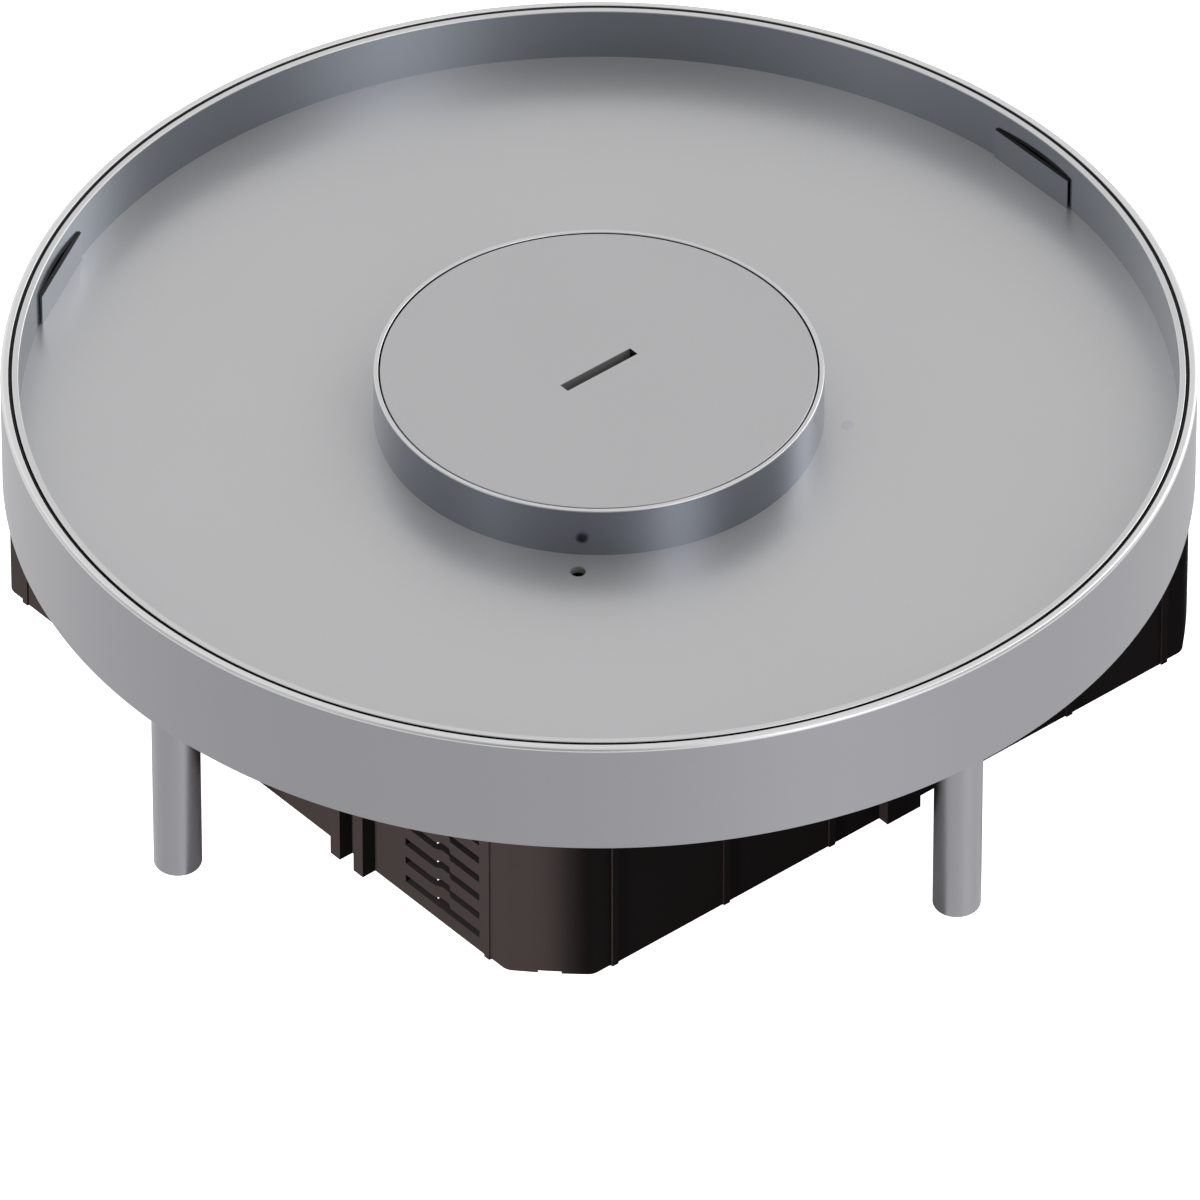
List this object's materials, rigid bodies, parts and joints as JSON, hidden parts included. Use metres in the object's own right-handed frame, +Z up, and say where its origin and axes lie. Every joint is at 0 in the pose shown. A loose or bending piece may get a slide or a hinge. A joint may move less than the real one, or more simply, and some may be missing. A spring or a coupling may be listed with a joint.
{
  "type": "round floor outlet insert",
  "caption": "Round levelling floor outlet: steel trim ring, lift-out lid with recess for flooring, central tube with slotted cap, louvred black carrier and adjustable legs.",
  "frame": {"origin": "centre line of the ring at the plane of the feet, legs as stored", "axes": "+Z up out of the floor; +X across the louvred sides of the carrier and along the coin slot; +Y across its plain sides"},
  "size_m": [0.306, 0.306, 0.0888],
  "materials": {
    "trim_ring": "fine matt steel ring",
    "lid_seal": "black rubber",
    "leg_bracket": "zinc plated",
    "carrier_frame": "black moulded plastic",
    "carrier_screw": "zinc plated screw",
    "device_cup": "dark grey plastic",
    "cup_cover": "dark grey plastic",
    "cover_screw": "zinc plated screw",
    "lid_tray": "matt steel pan",
    "lid_stiffener": "zinc plated sheet",
    "tube_collar": "polished wall",
    "tube_insert": "black plastic",
    "lock_ring": "dark grey plastic",
    "cap_plate": "fine matt steel disc",
    "cap_base": "black plastic",
    "cap_oring": "black rubber",
    "leg_spindle": "zinc plated steel",
    "leg_foot": "satin metal"
  },
  "bodies": {
    "frame": {"trim_ring": "trim_ring", "lid_seal": "lid_seal", "leg_bracket_1": "leg_bracket", "leg_bracket_2": "leg_bracket", "leg_bracket_3": "leg_bracket", "leg_bracket_4": "leg_bracket", "carrier_frame": "carrier_frame", "carrier_screw_1": "carrier_screw", "carrier_screw_2": "carrier_screw", "carrier_screw_3": "carrier_screw", "carrier_screw_4": "carrier_screw", "device_cup_1": "device_cup", "device_cup_2": "device_cup", "device_cup_3": "device_cup", "cup_cover_1": "cup_cover", "cup_cover_2": "cup_cover", "cup_cover_3": "cup_cover", "cover_screw_1a": "cover_screw", "cover_screw_1b": "cover_screw", "cover_screw_2a": "cover_screw", "cover_screw_2b": "cover_screw", "cover_screw_3a": "cover_screw", "cover_screw_3b": "cover_screw"},
    "lid": {"lid_tray": "lid_tray", "lid_stiffener": "lid_stiffener", "tube_collar": "tube_collar", "tube_insert": "tube_insert"},
    "lock_ring": {"lock_ring": "lock_ring"},
    "cap": {"cap_plate": "cap_plate", "cap_base": "cap_base", "cap_oring": "cap_oring"},
    "spindle_1": {"leg_spindle_1": "leg_spindle"},
    "foot_1": {"leg_foot_1": "leg_foot"},
    "spindle_2": {"leg_spindle_2": "leg_spindle"},
    "foot_2": {"leg_foot_2": "leg_foot"},
    "spindle_3": {"leg_spindle_3": "leg_spindle"},
    "foot_3": {"leg_foot_3": "leg_foot"},
    "spindle_4": {"leg_spindle_4": "leg_spindle"},
    "foot_4": {"leg_foot_4": "leg_foot"}
  },
  "joints": [
    {"name": "lid_lift", "type": "slide", "parent": "frame", "child": "lid", "axis": [0, 0, 1], "range_m": [0, 0.08]},
    {"name": "cap_turn", "type": "hinge", "parent": "lid", "child": "lock_ring", "pos_m": [0, 0, 0.078], "axis": [0, 0, 1], "range_deg": [0, 45]},
    {"name": "cap_lift", "type": "slide", "parent": "lock_ring", "child": "cap", "axis": [0, 0, 1], "range_m": [0, 0.04]},
    {"name": "spindle_1_turn", "type": "hinge", "parent": "frame", "child": "spindle_1", "pos_m": [0.1406, 0, 0.06], "axis": [0, 0, 1], "range_deg": [0, 5770]},
    {"name": "foot_1_level", "type": "slide", "parent": "frame", "child": "foot_1", "axis": [0, 0, -1], "range_m": [0, 0.02]},
    {"name": "spindle_2_turn", "type": "hinge", "parent": "frame", "child": "spindle_2", "pos_m": [0, 0.1406, 0.06], "axis": [0, 0, 1], "range_deg": [0, 5770]},
    {"name": "foot_2_level", "type": "slide", "parent": "frame", "child": "foot_2", "axis": [0, 0, -1], "range_m": [0, 0.02]},
    {"name": "spindle_3_turn", "type": "hinge", "parent": "frame", "child": "spindle_3", "pos_m": [-0.1406, 0, 0.06], "axis": [0, 0, 1], "range_deg": [0, 5770]},
    {"name": "foot_3_level", "type": "slide", "parent": "frame", "child": "foot_3", "axis": [0, 0, -1], "range_m": [0, 0.02]},
    {"name": "spindle_4_turn", "type": "hinge", "parent": "frame", "child": "spindle_4", "pos_m": [0, -0.1406, 0.06], "axis": [0, 0, 1], "range_deg": [0, 5770]},
    {"name": "foot_4_level", "type": "slide", "parent": "frame", "child": "foot_4", "axis": [0, 0, -1], "range_m": [0, 0.02]}
  ],
  "couplings": [
    {"joint": "spindle_1_turn", "follows": "foot_1_level", "rad_per_m": 5026.5},
    {"joint": "spindle_2_turn", "follows": "foot_2_level", "rad_per_m": 5026.5},
    {"joint": "spindle_3_turn", "follows": "foot_3_level", "rad_per_m": 5026.5},
    {"joint": "spindle_4_turn", "follows": "foot_4_level", "rad_per_m": 5026.5}
  ]
}
